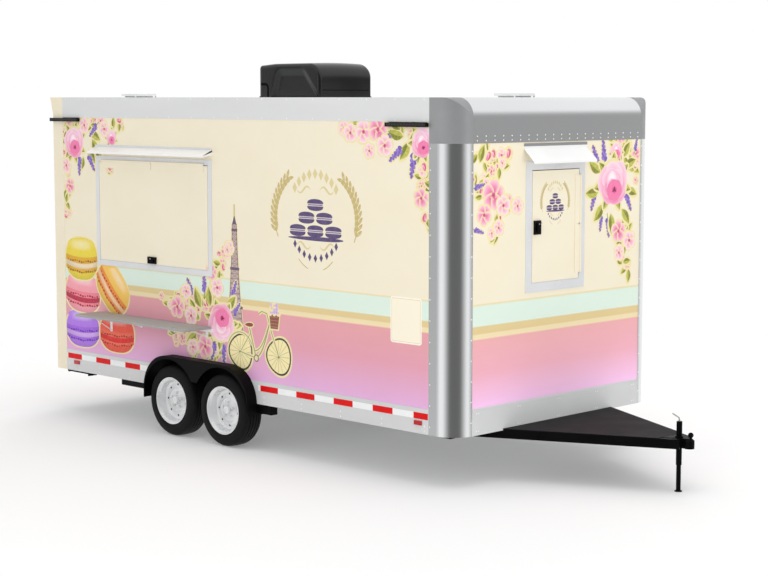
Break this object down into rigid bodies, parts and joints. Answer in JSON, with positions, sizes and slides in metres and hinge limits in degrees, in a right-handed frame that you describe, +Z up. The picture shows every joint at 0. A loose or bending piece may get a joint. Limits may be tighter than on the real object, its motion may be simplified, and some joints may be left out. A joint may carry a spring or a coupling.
{
  "type": "food concession trailer",
  "caption": "Box-bodied tandem-axle food trailer with a top-hinged serving hatch, fold-up counter, front hatch, rear door and a tongue jack.",
  "frame": {"origin": "centre of the hitch ball in the coupler", "axes": "+X forwards along the tongue, +Y to the trailer's left, +Z up; the serving side faces -Y"},
  "size_m": [6.2108, 2.737, 3.119],
  "materials": {
    "black_steel": "satin powder coat",
    "deck_paint": "satin",
    "cream_wrap": "satin vinyl wrap on aluminium",
    "roof_white": "satin",
    "satin_aluminium": "satin, brushed along its length",
    "grey_trim": "satin anodised look",
    "frame_grey": "satin",
    "white_paint": "gloss",
    "counter_grey": "brushed",
    "black_plastic": "moulded, slightly glossy",
    "white_plastic": "satin",
    "tyre_rubber": "matt",
    "rim_silver": "silver gloss",
    "red_lens": "gloss",
    "floor_plate": "diamond plate",
    "galvanised": "zinc plated"
  },
  "bodies": {
    "chassis": {"main_beams": "black_steel", "cross_members": "black_steel", "side_channels": "black_steel", "tongue_beams": "black_steel", "tongue_deck": "deck_paint", "coupler": "black_steel", "jack_tube": "black_steel", "jack_crank": "galvanised", "floor_deck": "floor_plate", "roof_panel": "roof_white", "right_wall": "cream_wrap", "left_wall": "cream_wrap", "front_wall": "cream_wrap", "rear_wall": "cream_wrap", "corner_posts": "satin_aluminium", "front_cap": "satin_aluminium", "corner_caps": "satin_aluminium", "top_rails": "grey_trim", "rear_posts": "cream_wrap", "rear_header": "cream_wrap", "skirts": "grey_trim", "serving_frame": "frame_grey", "serving_hood": "white_paint", "shelf_brackets": "frame_grey", "front_frame": "frame_grey", "front_hood": "white_paint", "door_frame": "frame_grey", "fenders": "black_steel", "axles": "black_steel", "air_conditioner": "black_plastic", "vent_bases": "white_plastic", "light_bars": "black_plastic", "stabiliser_brackets": "black_steel", "tail_lights": "red_lens", "marker_lights": "red_lens", "rear_bumper": "black_steel"},
    "serving_hatch": {"serving_hatch": "cream_wrap", "serving_latch": "black_plastic"},
    "front_hatch": {"front_hatch": "cream_wrap", "front_latch": "black_plastic"},
    "rear_door": {"rear_door": "cream_wrap", "door_handle": "black_plastic"},
    "counter": {"serving_shelf": "counter_grey"},
    "jack_leg": {"jack_leg": "black_steel"},
    "wheel_fr": {"tyre_fr": "tyre_rubber", "rim_fr": "rim_silver"},
    "wheel_fl": {"tyre_fl": "tyre_rubber", "rim_fl": "rim_silver"},
    "wheel_rr": {"tyre_rr": "tyre_rubber", "rim_rr": "rim_silver"},
    "wheel_rl": {"tyre_rl": "tyre_rubber", "rim_rl": "rim_silver"},
    "vent_lid_front": {"vent_lid_front": "white_plastic"},
    "vent_lid_rear": {"vent_lid_rear": "white_plastic"},
    "stabiliser_right": {"stabiliser_right": "black_steel"},
    "stabiliser_left": {"stabiliser_left": "black_steel"}
  },
  "joints": [
    {"name": "serving_hatch_hinge", "type": "hinge", "parent": "chassis", "child": "serving_hatch", "pos_m": [-4.673, -1.184, 1.938], "axis": [-1, 0, 0], "range_deg": [0, 90]},
    {"name": "front_hatch_hinge", "type": "hinge", "parent": "chassis", "child": "front_hatch", "pos_m": [-1.191, 0.2255, 1.525], "axis": [0, 0, 1], "range_deg": [0, 120]},
    {"name": "rear_door_hinge", "type": "hinge", "parent": "chassis", "child": "rear_door", "pos_m": [-6.099, 0.418, 1.115], "axis": [0, 0, -1], "range_deg": [0, 110]},
    {"name": "counter_hinge", "type": "hinge", "parent": "chassis", "child": "counter", "pos_m": [-4.648, -1.182, 0.605], "axis": [-1, 0, 0], "range_deg": [0, 85]},
    {"name": "jack_slide", "type": "slide", "parent": "chassis", "child": "jack_leg", "axis": [0, 0, 1], "range_m": [0, 0.18]},
    {"name": "wheel_fr_spin", "type": "hinge", "parent": "chassis", "child": "wheel_fr", "pos_m": [-3.689, -1.1575, -0.05], "axis": [0, 1, 0], "continuous": true},
    {"name": "wheel_fl_spin", "type": "hinge", "parent": "chassis", "child": "wheel_fl", "pos_m": [-3.689, 1.1575, -0.05], "axis": [0, 1, 0], "continuous": true},
    {"name": "wheel_rr_spin", "type": "hinge", "parent": "chassis", "child": "wheel_rr", "pos_m": [-4.355, -1.1575, -0.05], "axis": [0, 1, 0], "continuous": true},
    {"name": "wheel_rl_spin", "type": "hinge", "parent": "chassis", "child": "wheel_rl", "pos_m": [-4.355, 1.1575, -0.05], "axis": [0, 1, 0], "continuous": true},
    {"name": "front_vent_hinge", "type": "hinge", "parent": "chassis", "child": "vent_lid_front", "pos_m": [-1.57, 0, 2.5], "axis": [0, 1, 0], "range_deg": [0, 60]},
    {"name": "rear_vent_hinge", "type": "hinge", "parent": "chassis", "child": "vent_lid_rear", "pos_m": [-5.611, -0.5, 2.5], "axis": [0, 1, 0], "range_deg": [0, 60]},
    {"name": "stabiliser_right_hinge", "type": "hinge", "parent": "chassis", "child": "stabiliser_right", "pos_m": [-6.06, -1.048, 0.01], "axis": [0, 1, 0], "range_deg": [0, 90]},
    {"name": "stabiliser_left_hinge", "type": "hinge", "parent": "chassis", "child": "stabiliser_left", "pos_m": [-6.06, 1.048, 0.01], "axis": [0, 1, 0], "range_deg": [0, 90]}
  ]
}
